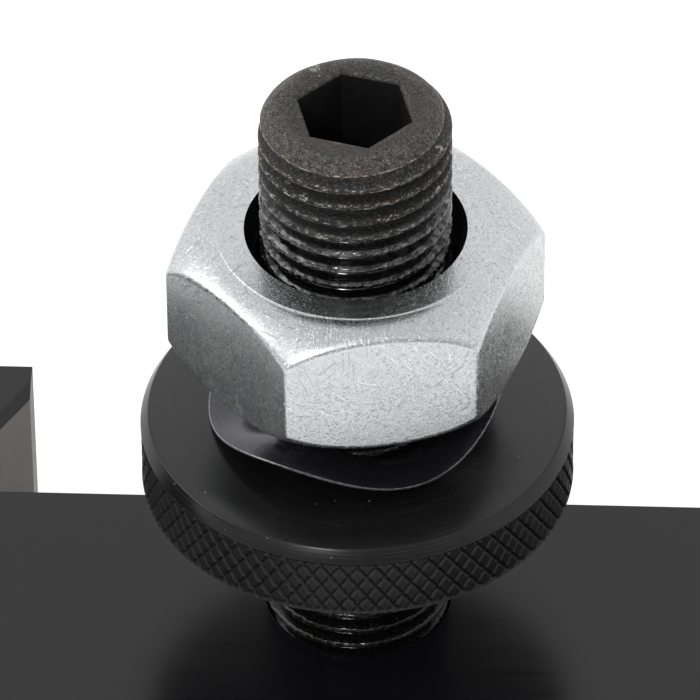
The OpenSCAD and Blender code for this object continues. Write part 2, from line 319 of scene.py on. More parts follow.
def screw(name, foot_place, radius, length, pitch, top_profile, end_rings, angles,
          buried=0.0, wear=0.0):
    """Threaded screw standing on foot_place. top_profile is (radius, drop) pairs, end_rings closes
    the top, and the thread is only drawn above the height buried. wear roughens the crests."""
    depth, coarse, fine = SCREW_DEPTH * pitch, 5, 13
    limit = limit_from(top_profile, length, radius)
    z_high = length - top_profile[-1][1]
    verts, faces = [], []

    def radius_at(a, z):
        groove = thread_depth(z, a, pitch)
        spot = Vector((radius * math.cos(a), radius * math.sin(a), z))
        bumps = noise.noise(spot * coarse) + 0.5 * noise.noise(spot * fine)
        thread = radius - depth * groove - wear * max(0.0, bumps) * (1 - groove)
        return min(limit(z), thread, radius - max(0.0, FOOT_CHAMFER - z))

    foot = [lathe_ring(angles, lambda a: radius_at(a, buried), lambda a: buried)]
    if buried > 0:
        foot = round_rings(angles, ((radius - FOOT_CHAMFER, 0.0), (radius, FOOT_CHAMFER),
                                    (radius, buried - pitch / 2))) + foot
    add_rings(verts, faces, foot, cap_low=True)
    thread_skin(verts, faces, angles, buried, z_high, pitch, radius_at)
    top = [lathe_ring(angles, lambda a: radius_at(a, z_high), lambda a: z_high)]
    add_rings(verts, faces, top + end_rings, cap_high=True)
    piece = build(name, verts, faces, sharp=50, weld=True)
    shift(piece, *foot_place)
    return piece


def socket_rings(angles, start, length, socket, socket_depth):
    """Rings of a hexagon socket, from its mouth on the top face down to its drilled floor."""
    mouth, drill_point = 0.16, 0.6
    rows = [lathe_ring(angles, lambda a: hex_radius(a, socket + 2 * grow * mouth, start),
                       lambda a: length - drop)
            for grow, drop in ((1, 0.0), (0.5, 0.3 * mouth), (0, mouth), (0, socket_depth))]
    return rows + round_rings(angles, [(0.3 * socket, length - socket_depth - drill_point)])


def hex_nut(node, axis, flats, bore_r, pitch, sink_r, vertex_angle, flat_ratio=0.42):
    """Hexagon nut as tall as a CAD node, with domed chamfers and rounded edges on both faces. Its
    thread ridges end at bore_r, clear of the stud's crests."""
    low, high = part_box(node)
    height = (high.z - low.z) / MM
    corner_round, edge, step, rows_per_turn = 0.32, 0.26, 0.035, 8
    sink_slope, rim_r = 0.35, sink_r + 0.10
    corner_steps, flat_steps = 6, 18
    sector = TAU / 6
    limit = math.atan(corner_round / flats * 1.1)
    offsets = [limit * (2 * i / corner_steps - 1) for i in range(corner_steps)]
    offsets += [limit + (sector - 2 * limit) * i / flat_steps for i in range(flat_steps)]
    start = math.radians(vertex_angle)
    angles = [start + sector * side + off for side in range(6) for off in offsets]
    flat_r = flats * flat_ratio
    dome = 3.9 / flats
    depth = NUT_DEPTH * pitch

    def chamfer(r):
        """How far the domed chamfer lies below the face at a radius."""
        return step + dome * (r - flat_r) ** 2

    def section(a):
        """Pairs of radius and drop below the face, out from the flat circle and round the edge."""
        rim = hex_radius(a, flats, start, corner_round)
        inner, corner = chamfer(rim - edge), chamfer(rim)
        yield flat_r - 0.05, 0.0
        yield flat_r, step
        for share in (0.08, 0.2, 0.35, 0.55, 0.75, 0.9):
            r = flat_r + share * (rim - edge - flat_r)
            yield r, chamfer(r)
        for t in (0.0, 0.2, 0.4, 0.6, 0.8, 1.0):
            fade = (1 - t) ** 2
            drop = fade * inner + 2 * t * (1 - t) * corner + t * t * (corner + edge)
            yield rim - edge * fade, drop

    def face_ring(pairs, z, side):
        """A ring of (radius, drop) pairs under the face at z, or over it where side is 1."""
        return [polar(r, a, z + side * drop) for a, (r, drop) in zip(angles, pairs)]

    def inside(z):
        open_r = sink_r - sink_slope * min(z, height - z)
        return lambda a: max(open_r, bore_r + depth * (1 - thread_depth(z, a, pitch)))

    bore_steps = int(height / pitch * rows_per_turn)
    levels = [height * i / bore_steps for i in range(bore_steps + 1)]
    around = list(zip(*map(section, angles)))
    rows = [lathe_ring(angles, inside(z), lambda a: z) for z in levels]
    rows += round_rings(angles, [(rim_r, height)])
    rows += [face_ring(pairs, height, -1) for pairs in around]
    rows += [face_ring(pairs, 0.0, 1) for pairs in reversed(around)]
    rows += round_rings(angles, [(rim_r, 0.0)])
    piece = ring_solid(node, rows, loop=True, sharp=34)
    shift(piece, axis[0], axis[1], low.z)
    return piece


# ---- materials

class Paint:
    """Short-hand for building the nodes of a material or a world."""

    def __init__(self, name, kind=bpy.data.materials, shader="Principled BSDF", coords="Object"):
        self.owner = kind.new(name)
        self.owner.use_nodes = True
        self.tree = self.owner.node_tree
        self.shader = self.tree.nodes[shader]
        self.coords = self.node("TexCoord").outputs[coords]

    def feed(self, slot, value):
        """Links another node's output to a socket, or sets the socket's own value."""
        if isinstance(value, bpy.types.NodeSocket):
            self.tree.links.new(value, slot)
        else:
            slot.default_value = value

    def node(self, kind, inputs=None, **settings):
        """Adds a shader node. inputs gives a value or an output for a socket's name or number."""
        made = self.tree.nodes.new("ShaderNode" + kind)
        for key, value in settings.items():
            setattr(made, key, value)
        for key, value in (inputs or {}).items():
            self.feed(made.inputs[key], value)
        return made

    def scaled(self, x, y, z, source=None, shift=(0, 0, 0)):
        places = {"Vector": source or self.coords, "Location": shift, "Scale": (x, y, z)}
        return self.node("Mapping", places).outputs["Vector"]

    def noise(self, scale, detail, rough=0.55, vector=None):
        values = {"Vector": vector or self.coords, "Scale": scale, "Detail": detail,
                  "Roughness": rough}
        return self.node("TexNoise", values).outputs["Fac"]

    def span(self, value, low, high, to_low=0.0, to_high=1.0, way="LINEAR"):
        values = {"Value": value, "From Min": low, "From Max": high, "To Min": to_low,
                  "To Max": to_high}
        return self.node("MapRange", values, interpolation_type=way).outputs["Result"]

    def swing(self, noise_value, to_low, to_high):
        """Spreads the usual range of a noise between two values."""
        return self.span(noise_value, 0.3, 0.7, to_low, to_high)

    def math(self, operation, *values):
        slots = dict(enumerate(values))
        return self.node("Math", slots, operation=operation).outputs["Value"]

    def times(self, result, *factors):
        for factor in factors:
            result = self.math("MULTIPLY", result, factor)
        return result

    def plus(self, a, b):
        return self.math("ADD", a, b)

    def mix(self, factor, a, b, share=1.0):
        """Mixes two colours, each an (r, g, b), a grey or an output; share scales the factor."""
        if share != 1.0:
            factor = self.times(factor, share)
        made = self.node("Mix", {"Factor": factor}, data_type="RGBA")
        colours = [slot for slot in made.inputs if slot.type == "RGBA"]
        for slot, value in zip(colours, (a, b)):
            if isinstance(value, float):
                value = (value, value, value)
            self.feed(slot, (*value, 1) if isinstance(value, tuple) else value)
        return [slot for slot in made.outputs if slot.type == "RGBA"][0]

    def scratches(self, size, seed, patch, stretch, cut_at=0.63):
        """Fine straight marks, 0 to 1, that run in a different direction in each small patch."""
        reach = 0.05
        moved = self.scaled(1, 1, 1, shift=(0.01 * seed, 0.023 * seed, 0.037 * seed))
        cells = self.node("TexVoronoi", {"Vector": moved, "Scale": patch})
        turn = self.node("VectorMath", {0: cells.outputs["Color"], "Scale": TAU},
                         operation="SCALE")
        turned_to = self.node("VectorRotate",
                              {"Vector": moved, "Rotation": turn.outputs["Vector"]},
                              rotation_type="EULER_XYZ")
        drawn = self.scaled(size / stretch, size, size, turned_to.outputs["Vector"])
        return self.span(self.noise(1.0, 1.0, 0.5, drawn), cut_at, cut_at + reach)

    def radius_from(self, centre, axis="Z"):
        """Distance from an axis through a point, in metres, and the place along it."""
        place = self.node("SeparateXYZ", {"Vector": self.coords}).outputs
        squares = []
        for letter, value in zip("XYZ", centre):
            if letter != axis:
                off = self.math("SUBTRACT", place[letter], value)
                squares.append(self.times(off, off))
        return self.math("SQRT", self.plus(*squares)), place[axis]

    def finish(self, colour, roughness, height=None, strength=0.0, distance=0.0, **values):
        """Feeds the shader's colour, roughness, bump and other named sockets, and returns the
        material."""
        values.update(Base_Color=colour, Roughness=roughness)
        if height is not None:
            relief = {"Height": height, "Strength": strength, "Distance": distance}
            values["Normal"] = self.node("Bump", relief).outputs["Normal"]
        for key, value in values.items():
            self.feed(self.shader.inputs[key.replace("_", " ")], value)
        return self.owner


def ground_black(name="black_ground", worn=0.0):
    """Glossy black oxide over a ground face: faint grinding lines and a few bright specks.
    worn shows bare steel in places, for the narrow faces along the edges."""
    paint = Paint(name)
    smudge = paint.noise(70, 4)
    grind = paint.noise(1.0, 3, vector=paint.scaled(90, 3500, 3500))
    specks = paint.span(paint.noise(3400, 1), 0.80, 0.83)
    base = paint.mix(smudge, (0.0026, 0.0026, 0.0032), (0.0046, 0.0045, 0.0056))
    base = paint.mix(specks, base, 0.10, share=0.3)
    if worn:
        bare = paint.span(paint.noise(900, 4, 0.7), 0.52, 0.68)
        base = paint.mix(bare, base, (0.10, 0.097, 0.092), share=worn)
    rough = paint.plus(paint.swing(smudge, 0.17, 0.27), paint.swing(grind, -0.02, 0.03))
    return paint.finish(base, rough, grind, 0.05, 0.00002, IOR=1.40)


def flank_black_painted_reflection():
    """Milled flank of the groove: dull, warmer and paler than the ground faces. The paler warm tone is
    a painted reflection of a warm surround.
    """
    paint = Paint("black_milled_painted_reflection")
    strokes = paint.noise(1.0, 3, vector=paint.scaled(1200, 1200, 90))
    cloud = paint.noise(160, 4)
    # Pale warm grey: painted reflection on the flank, over its milled finish
    base = paint.mix(cloud, (0.155, 0.136, 0.123), (0.195, 0.174, 0.160))
    return paint.finish(base, paint.swing(strokes, 0.45, 0.55), strokes, 0.05, 0.00002, IOR=1.30)


def turned_lines(paint, centre, scale, axis="Z"):
    """Fine rings about an axis through a point."""
    radius, height = paint.radius_from(centre, axis)
    rings = paint.node("CombineXYZ", {"X": radius, "Y": height}).outputs["Vector"]
    return paint.noise(1.0, 2, vector=paint.scaled(scale, scale, 1, rings))


def turned_black(centre, name="black_turned", ring_mark=0.03, ior=1.47):
    """Black oxide over a turned face, with rings about the upright axis through a point."""
    paint = Paint(name)
    lines = turned_lines(paint, centre, 16000)
    patches = paint.noise(160, 4)
    specks = paint.span(paint.noise(3000, 1), 0.78, 0.81)
    broken = paint.span(paint.noise(900, 3), 0.35, 0.65)
    bright = paint.times(paint.span(lines, 0.58, 0.72), ring_mark, broken)
    base = paint.mix(patches, (0.0028, 0.0028, 0.0030), (0.0055, 0.0055, 0.0057))
    base = paint.mix(bright, base, (0.20, 0.20, 0.19))
    base = paint.mix(specks, base, (0.22, 0.20, 0.16), share=0.4)
    rough = paint.plus(paint.swing(patches, 0.20, 0.30), paint.swing(lines, -0.02, 0.03))
    return paint.finish(base, rough, lines, 0.03, 0.00002, IOR=ior)


def knurl_black(centre, radius_mm):
    """Black oxide on a knurl: dull, with paler crests, painted glints on them and dark grooves."""
    paint = Paint("black_knurl")
    radius = paint.radius_from(centre)[0]
    crest = paint.span(radius, (radius_mm - 0.10) * MM, radius_mm * MM)
    grain = paint.noise(5000, 3, 0.6)
    patches = paint.noise(260, 3)
    high = paint.times(crest, paint.swing(patches, 0.4, 1.0))
    base = paint.mix(high, 0.0010, (0.0095, 0.0093, 0.0090))
    # Painted glints: bright specks on the crests
    painted_glint = paint.times(paint.span(grain, 0.66, 0.78), high)
    base = paint.mix(painted_glint, base, (0.12, 0.12, 0.115), share=0.4)
    return paint.finish(base, paint.swing(grain, 0.32, 0.48), grain, 0.12, 0.00003, IOR=1.34)


def screw_black(centre, radius_mm, top, name):
    """Black oxide on a thread, worn grey-brown on its crests, dry at the top and oily lower down, with
    painted shade in the roots and round the socket and painted glints on the oily crests.
    """
    paint = Paint(name)
    radius, height = paint.radius_from(centre)
    edge = paint.node("NewGeometry").outputs["Pointiness"]
    crest = paint.span(edge, 0.529, 0.556)
    # Painted shade: the colour darkens from the crests into the thread roots
    painted_root_shade = paint.span(radius, (radius_mm - 0.60) * MM, (radius_mm - 0.15) * MM, 0.25, 1.0)
    dry = paint.span(height, top - 6.0 * MM, top - 1.4 * MM)
    crown = paint.span(height, top - 1.6 * MM, top - 0.40 * MM)
    grain = paint.noise(9000, 4, 0.7)
    pits = paint.noise(3800, 4, 0.65)
    patches = paint.noise(700, 4, 0.6)
    rust = paint.span(paint.noise(420, 3), 0.45, 0.62)
    broken = paint.span(paint.noise(3200, 4, 0.7, paint.scaled(1, 1, 3.0)), 0.47, 0.57)
    speck = paint.times(paint.span(grain, 0.56, 0.68), paint.span(dry, 0, 1, 0.2, 1.0))
    oily = paint.mix(patches, 0.0008, (0.0030, 0.0030, 0.0028))
    dull = paint.mix(patches, (0.0020, 0.0019, 0.0018), (0.009, 0.0082, 0.0075))
    chalky = paint.mix(paint.span(pits, 0.40, 0.62), (0.005, 0.0049, 0.0048),
                       (0.060, 0.058, 0.056))
    chalky = paint.mix(rust, chalky, (0.050, 0.036, 0.028), share=0.5)
    chalky = paint.mix(paint.span(grain, 0.53, 0.66), chalky, (0.22, 0.205, 0.19), share=0.7)
    # Painted shade: the top face darkens towards the socket's mouth
    inner = paint.span(radius, (radius_mm - 1.8) * MM, (radius_mm - 0.8) * MM, 0.55, 0.0)
    chalky = paint.mix(inner, chalky, (0.010, 0.0095, 0.009))
    base = paint.mix(paint.times(dry, painted_root_shade), oily, dull)
    base = paint.mix(crown, base, chalky)
    fleck = paint.mix(rust, (0.16, 0.16, 0.15), (0.17, 0.12, 0.09))
    base = paint.mix(paint.times(speck, painted_root_shade), base, fleck, share=0.9)
    metal = paint.mix(paint.times(rust, dry), (0.40, 0.40, 0.39), (0.44, 0.32, 0.25))
    # Crest lines: rubbed bare metal near the top; in the oily part lower down the same bright crest
    # marks are painted glints
    worn = paint.times(crest, broken, paint.span(crown, 0, 1, 0.85, 0.55),
                       paint.span(dry, 0, 0.5, 0.45, 1.0),
                       paint.span(height, top - 14 * MM, top - 10 * MM, 0.4, 1.0))
    base = paint.mix(worn, base, metal)
    wet = paint.times(paint.span(dry, 0.05, 0.5, 1.0, 0.0),
                      paint.span(paint.noise(2200, 3), 0.42, 0.55),
                      paint.span(height, top - 12 * MM, top - 10 * MM))
    rough = paint.plus(paint.span(dry, 0, 0.6, 0.08, 0.46), paint.swing(pits, -0.06, 0.12))
    relief = paint.plus(paint.times(grain, 0.5), pits)
    relief = paint.times(relief, paint.span(dry, 0, 0.5, 0.10, 1.0))
    return paint.finish(base, rough, relief, 0.8, 0.00010, IOR=1.32, Coat_Weight=wet,
                        Coat_Roughness=0.05, Coat_IOR=1.60)


def painted_shade_black():
    """Near-black painted shade for the inside of a socket or a nut's threaded bore."""
    paint = Paint("painted_shade_black")
    grain = paint.noise(2500, 3)
    base = paint.mix(grain, 0.0030, (0.0060, 0.0060, 0.0058))
    return paint.finish(base, paint.swing(grain, 0.45, 0.65), grain, 0.2, 0.00003, IOR=1.2)


def zinc():
    """Bright zinc plate: fine tumbling scratches in every direction, mottling and dull spots."""
    paint = Paint("zinc_plate")
    cloud = paint.noise(260, 5, 0.65)
    mottle = paint.noise(4200, 4, 0.65)
    light = paint.math("MAXIMUM", paint.scratches(13000, 1, 420, 40),
                       paint.scratches(11000, 2, 300, 55))
    dark = paint.math("MAXIMUM", paint.scratches(12000, 3, 380, 34),
                      paint.scratches(9000, 4, 520, 40, 0.64))
    spots = paint.span(paint.noise(2600, 2), 0.72, 0.78)
    base = paint.mix(cloud, (0.48, 0.495, 0.505), (0.60, 0.61, 0.61))
    base = paint.mix(paint.span(mottle, 0.35, 0.65, 0.0, 0.30), base, (0.35, 0.37, 0.385))
    base = paint.mix(dark, base, (0.16, 0.17, 0.18), share=0.45)
    base = paint.mix(spots, base, (0.20, 0.18, 0.15), share=0.55)
    base = paint.mix(light, base, (0.86, 0.87, 0.86), share=0.5)
    rough = paint.plus(paint.swing(cloud, 0.20, 0.30), paint.swing(mottle, -0.04, 0.06))
    cuts = paint.math("SUBTRACT", paint.times(light, 0.8), paint.times(dark, 0.8))
    relief = paint.plus(paint.times(mottle, 0.7), cuts)
    return paint.finish(base, rough, relief, 0.34, 0.00002, Metallic=1.0)


def spring_strip():
    """Dark polished spring strip with faint rolling lines."""
    paint = Paint("spring_steel")
    rolled = paint.noise(1.0, 3, vector=paint.scaled(300, 6000, 300))
    cloud = paint.noise(300, 3)
    marks = paint.scratches(9000, 5, 300, 30, 0.66)
    base = paint.mix(cloud, (0.055, 0.053, 0.062), (0.085, 0.083, 0.095))
    base = paint.mix(marks, base, (0.30, 0.30, 0.32), share=0.3)
    return paint.finish(base, paint.swing(rolled, 0.12, 0.20), rolled, 0.05, 0.00002, Metallic=0.9)


def sheared_edge():
    """Bright sheared edge of the spring washer."""
    paint = Paint("sheared_edge")
    grain = paint.noise(1.0, 3, vector=paint.scaled(3000, 3000, 9000))
    base = paint.mix(grain, (0.08, 0.08, 0.09), (0.34, 0.34, 0.36))
    return paint.finish(base, paint.swing(grain, 0.22, 0.36), Metallic=1.0)


def bright_steel(centre, name, axis="Z"):
    """Turned bright steel, with rings about an axis through a point."""
    paint = Paint(name)
    lines = turned_lines(paint, centre, 7000, axis)
    cloud = paint.noise(120, 4)
    marks = paint.math("MAXIMUM", paint.scratches(5000, 6, 200, 40),
                       paint.scratches(6000, 7, 260, 30))
    base = paint.mix(cloud, (0.40, 0.395, 0.39), 0.54)
    base = paint.mix(marks, base, 0.80, share=0.35)
    rough = paint.plus(paint.swing(cloud, 0.22, 0.34), paint.swing(lines, -0.05, 0.07))
    return paint.finish(base, rough, lines, 0.18, 0.00002, Metallic=1.0)


def drawn_steel():
    """Bright drawn bar, with fine lines in no one direction and light scuffs."""
    paint = Paint("drawn_steel")
    cloud = paint.noise(200, 4)
    marks = paint.scratches(4500, 9, 120, 60, 0.60)
    base = paint.mix(marks, paint.mix(cloud, 0.44, 0.60), 0.82, share=0.4)
    return paint.finish(base, paint.swing(cloud, 0.18, 0.30), marks, 0.15, 0.00002, Metallic=1.0)


def milled_steel():
    """Milled grey steel: overlapping cutter arcs and a few scratches."""
    paint = Paint("machined_steel")
    waves = {"Vector": paint.scaled(1, 1, 0.2, shift=(0.09, 0.05, 0)), "Scale": 180,
             "Distortion": 1.5}
    arcs = paint.node("TexWave", waves, wave_type="RINGS", rings_direction="SPHERICAL")
    cloud = paint.noise(90, 5)
    marks = paint.scratches(4000, 8, 150, 50)
    base = paint.mix(cloud, (0.24, 0.24, 0.245), (0.38, 0.38, 0.385))
    base = paint.mix(marks, base, 0.62, share=0.35)
    return paint.finish(base, paint.swing(cloud, 0.28, 0.44), arcs.outputs["Fac"], 0.20, 0.00003,
                        Metallic=1.0)


def phenolic():
    """Black moulded phenolic with a faint moulding ripple and dull finger marks."""
    paint = Paint("black_plastic")
    ripple = paint.noise(260, 3)
    fingers = paint.noise(70, 4)
    base = paint.mix(fingers, (0.004, 0.004, 0.0045), (0.009, 0.009, 0.0095))
    return paint.finish(base, paint.span(fingers, 0.35, 0.7, 0.10, 0.26), ripple, 0.12, 0.0001)


def finish_piece(piece, body, node, slot, *materials):
    """Gives a piece its materials and lets it stand for a CAD node."""
    faces = piece.data.polygons
    kept = [min(face.material_index, len(materials) - 1) for face in faces]
    piece.data.materials.clear()
    for material in materials:
        piece.data.materials.append(material)
    faces.foreach_set("material_index", kept)
    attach(piece, body)
    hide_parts(node)


STUD_AXIS = (HX, HY, 0.0)
POST_AXIS = (0.0, 0.0, 0.0)
GROUND = ground_black()
GROUND_EDGE = ground_black("black_ground_edge", worn=0.5)
INSIDE_PAINTED_SHADE = painted_shade_black()
TURNED_POST = turned_black(POST_AXIS, "black_turned_post", ring_mark=0.10)
BRIGHT_POST = bright_steel(POST_AXIS, "bright_steel")
DRAWN = drawn_steel()
MILLED = milled_steel()


def off_axis(face, axis=STUD_AXIS):
    """Distance of a face's middle from an upright axis, in millimetres."""
    return math.hypot(face.center.x - axis[0], face.center.y - axis[1]) / MM


def paint_faces(piece, index, wanted):
    """Gives the faces for which wanted(face) is true another of the piece's materials."""
    for face in piece.data.polygons:
        if wanted(face):
            face.material_index = index


# ---- tool holder

DOVETAIL_ANGLE = 60


def make_holder():
    low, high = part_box("holder_body")
    floor_y, back_y = HY + 7.1 * MM, high.y
    tip_y = back_y - 2.2 * MM
    mouth, slope = 18.6 * MM, math.radians(DOVETAIL_ANGLE)
    root = mouth + (tip_y - floor_y) / math.tan(slope)
    outline = [(low.x, low.y), (high.x, low.y), (high.x, back_y), (HX + mouth, back_y),
               (HX + mouth, tip_y), (HX + root, floor_y), (HX - root, floor_y),
               (HX - mouth, tip_y), (HX - mouth, back_y), (low.x, back_y)]
    piece = prism("holder_body", outline, low.z, high.z)
    slot_low, slot_height, wall_y = low.z + 10 * MM, 13 * MM, HY - 10.5 * MM
    slot = rectangle(low.x - MM, low.y - MM, high.x + MM, wall_y)
    cut(piece, prism("cutter", slot, slot_low, slot_low + slot_height))
    over_top = HOLDER_TOP / MM + 1
    stud_hole, screw_hole, roof = 4.95, 4.05, 20
    cut(piece, rod_cutter(stud_hole, over_top - 21, over_top, (HX, HY, 0)))
    for i in range(4):
        hole = centre_of(f"clamp_screw_{i + 1}")
        cut(piece, rod_cutter(screw_hole, roof, over_top, (hole.x, hole.y, 0)))
    for side in (-1, 1):
        foot = Vector((HX + side * root, floor_y, HOLDER_TOP))
        tip = Vector((HX + side * mouth, tip_y, HOLDER_TOP))
        inward = Vector((side * math.sin(slope), math.cos(slope), 0))
        cut(piece, edge_cutter(foot, tip, inward, 0.5 * MM))
    soften(piece, 0.10, segments=2)
    finish_piece(piece, "holder", "holder_body", "black_ground", GROUND, GROUND_EDGE, flank_black_painted_reflection())

    def on_flank(face):
        in_groove = abs(face.center.x - HX) < root + MM and face.center.y > floor_y
        return in_groove and abs(face.normal.x) > 0.7 and abs(face.normal.z) < 0.3
    # The groove's flanks take the third material, whose pale warm colour is painted reflection
    paint_faces(piece, 2, on_flank)


STUD_PITCH = 1.04
POST_PITCH = 2.0
# Drop below a screw's top face at which the painted shade inside its socket starts
SOCKET_EDGE = 0.12


def make_height_stud():
    low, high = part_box("height_stud")
    length = (high.z - low.z) / MM
    crest, socket, socket_depth, hex_start = 4.925, 5.24, 6.0, math.radians(-15.1)
    top = [(crest, 1.10), (crest - 0.07, 0.85), (crest - 0.19, 0.62), (crest - 0.36, 0.40),
           (crest - 0.58, 0.22), (crest - 0.86, 0.08), (crest - 1.13, 0.02)]
    angles = circle_angles(240, hex_start)
    face = round_rings(angles, [(crest - 1.36, length)])
    piece = screw("height_stud", (HX, HY, low.z), crest, length, STUD_PITCH, top,
                  face + socket_rings(angles, hex_start, length, socket, socket_depth), angles,
                  buried=(HOLDER_TOP - low.z) / MM - 1.0, wear=0.10)
    material = screw_black(STUD_AXIS, crest, STUD_TOP, "black_screw")
    finish_piece(piece, "holder", "height_stud", "black_screw", material, INSIDE_PAINTED_SHADE)
    # The socket's inside gets near-black painted shade
    paint_faces(piece, 1, lambda f: f.center.z < STUD_TOP - SOCKET_EDGE * MM
                and off_axis(f) < 0.6 * socket)


def make_thumb_nut():
    low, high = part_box("thumb_nut")
    radius = (high.x - low.x) / 2 / MM
    height = (high.z - low.z) / MM
    around, tall, columns, steps = 76, 1.35, 14, 44
    angles = circle_angles(around * columns)
    foot, band_high = 0.25, height - 0.68
    left_depth, right_depth, base_depth, narrow = 0.14, 0.08, 0.03, 0.13

    def groove(u):
        """1 in the middle of a groove, 0 on the flat of a diamond, with a small raised lip."""
        off = abs((u + 0.5) % 1.0 - 0.5) / narrow
        return max(0.0, 1 - off) - 0.22 * max(0.0, 1 - abs(off - 1.5) * 1.6)

    def knurl(a, z):
        turn = around * a / TAU
        fade = min(1.0, max(0.0, (band_high - z) / 0.12), max(0.0, (z - foot) / 0.12))
        return (max(left_depth * groove(turn + z / tall), right_depth * groove(turn - z / tall))
                + base_depth) * fade

    bore, edge = 5.05, radius - 0.42
    rows = round_rings(angles, ((bore + 0.3, 0.0), (radius - foot - 0.1, 0.0),
                                (radius - foot, 0.04)))
    for i in range(steps + 1):
        z = foot + (band_high - foot) * i / steps
        rows.append(lathe_ring(angles, lambda a: radius - knurl(a, z), lambda a: z))
    rows += round_rings(angles, ((edge + 0.04, height - 0.06), (edge, height - 0.02),
                                 (edge - 0.06, height), (bore + 0.35, height),
                                 (bore, height - 0.35), (bore, 0.35)))
    piece = ring_solid("thumb_nut", rows, loop=True, sharp=38)
    shift(piece, HX, HY, low.z)
    finish_piece(piece, "knurled_nut", "thumb_nut", "black_turned", turned_black(STUD_AXIS),
                 knurl_black(STUD_AXIS, radius),
                 turned_black(STUD_AXIS, "black_turned_edge", ring_mark=0.40, ior=1.36))

    outside = lambda face: off_axis(face) > edge - 0.1
    band_low_z, band_top_z = low.z + foot * MM, low.z + band_high * MM
    paint_faces(piece, 1, lambda f: outside(f) and band_low_z < f.center.z < band_top_z)
    paint_faces(piece, 2, lambda f: outside(f) and f.center.z >= band_top_z)


def make_spring_washer():
    """Three waves round a washer that lies tilted on the thumb nut."""
    inner, outer, half = 5.4, 7.73, 0.08
    wave, lift = 1.66, 1.66
    middle = heights_of("thumb_nut")[1] + lift
    slope, slope_angle, wave_angle = 0.092, math.radians(24.6), math.radians(2.6)
    angles = circle_angles(180)
    section = [(inner, -half * 0.5), (inner + 0.05, -half), (outer - 0.05, -half),
               (outer, -half * 0.6), (outer, half * 0.6), (outer - 0.05, half),
               (inner + 0.05, half), (inner, half * 0.5)]
    rows = [lathe_ring(angles, lambda a: r,
                       lambda a: middle + up + wave / 2 * math.cos(3 * (a - wave_angle))
                       + slope * r * math.cos(a - slope_angle))
            for r, up in section]
    piece = ring_solid("spring_washer", rows, loop=True, sharp=40)
    shift(piece, HX, HY, 0)
    finish_piece(piece, "height_washer", "spring_washer", "spring_steel", spring_strip(),
                 sheared_edge())
    paint_faces(piece, 1, lambda f: off_axis(f) > outer - 0.03)


def make_lock_nut():
    flats, bore, sink, turn = 17.1, 4.96, 5.72, 11.2
    piece = hex_nut("lock_nut", STUD_AXIS, flats, bore, STUD_PITCH, sink, turn)
    finish_piece(piece, "jam_nut", "lock_nut", "zinc_plate", zinc(), INSIDE_PAINTED_SHADE)
    # The countersink and threaded bore get near-black painted shade
    paint_faces(piece, 1, lambda f: off_axis(f) < sink - 0.01)


def make_clamp_screws():
    radius, pitch, socket = 4.0, 1.25, 4.0
    for i, hex_turn in enumerate((12, 40, 3, 25)):
        node = f"clamp_screw_{i + 1}"
        low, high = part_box(node)
        centre = centre_of(node)
        length, start = (high.z - low.z) / MM, math.radians(hex_turn)
        top = [(radius, 1.0), (3.9, 0.7), (3.6, 0.35), (3.3, 0.1)]
        angles = circle_angles(96, start)
        face = round_rings(angles, [(3.05, length)])
        piece = screw(node, (centre.x, centre.y, low.z), radius, length, pitch, top,
                      face + socket_rings(angles, start, length, socket, 4.0), angles)
        material = screw_black(centre, radius, high.z, f"black_screw_{i + 1}")
        finish_piece(piece, f"screw_{i + 1}", node, "black_screw", material, INSIDE_PAINTED_SHADE)
        # The socket's inside gets near-black painted shade
        paint_faces(piece, 1, lambda f: low.z + MM < f.center.z < high.z - SOCKET_EDGE * MM
                    and off_axis(f, centre) < 2.5)


make_holder()
make_height_stud()
make_thumb_nut()
make_spring_washer()
make_lock_nut()
make_clamp_screws()


# ---- tool post

PISTON_Z = centre_of("piston_front").z / MM
PIN = centre_of("stop_pin")
TO_FRONT = Matrix.Rotation(math.radians(90), 4, "X")
TO_SIDE = Matrix.Rotation(math.radians(-90), 4, "Z") @ TO_FRONT
HANDLE_TURN = math.radians(-40)
HANDLE_RISE = math.radians(20)
TO_HANDLE = (Matrix.Rotation(HANDLE_TURN, 4, "Z")
             @ Matrix.Rotation(math.radians(90) - HANDLE_RISE, 4, "Y"))
HUB_R = 23.0
SLEEVE_LOW, HUB_TOP = heights_of("cam_sleeve")
HUB_LOW = HUB_TOP - 15
ROD_AXIS_Z = HUB_LOW + 7.5 - HUB_R * math.tan(HANDLE_RISE)
ROD_R = 4.5


def make_t_nut():
    low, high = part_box("t_nut")
    piece = prism("t_nut", rectangle(low.x, low.y, high.x, high.y), low.z, high.z)
    hole = [(8.2, -1), (7.1, 0.9), (7.1, high.z / MM - 0.9), (8.2, high.z / MM + 1)]
    cut(piece, turned("cutter", hole, steps=96))
    soften(piece, 0.7, segments=3)
    finish_piece(piece, "base", "t_nut", "machined_steel", MILLED, MILLED)


def make_center_stud():
    low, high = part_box("center_stud")
    length, radius = (high.z - low.z) / MM, 6.95
    angles = circle_angles(144)
    top = [(radius, 1.3), (radius - 0.25, 0.8), (radius - 0.7, 0.3), (radius - 1.0, 0.1)]
    face = round_rings(angles, ((radius - 1.2, length), (1.7, length), (1.55, length - 0.15),
                                (0.5, length - 1.6)))
    piece = screw("center_stud", (0, 0, low.z), radius, length, POST_PITCH, top, face,
                  angles, buried=heights_of("top_washer")[0] - 2)
    finish_piece(piece, "base", "center_stud", "bright_steel", BRIGHT_POST)


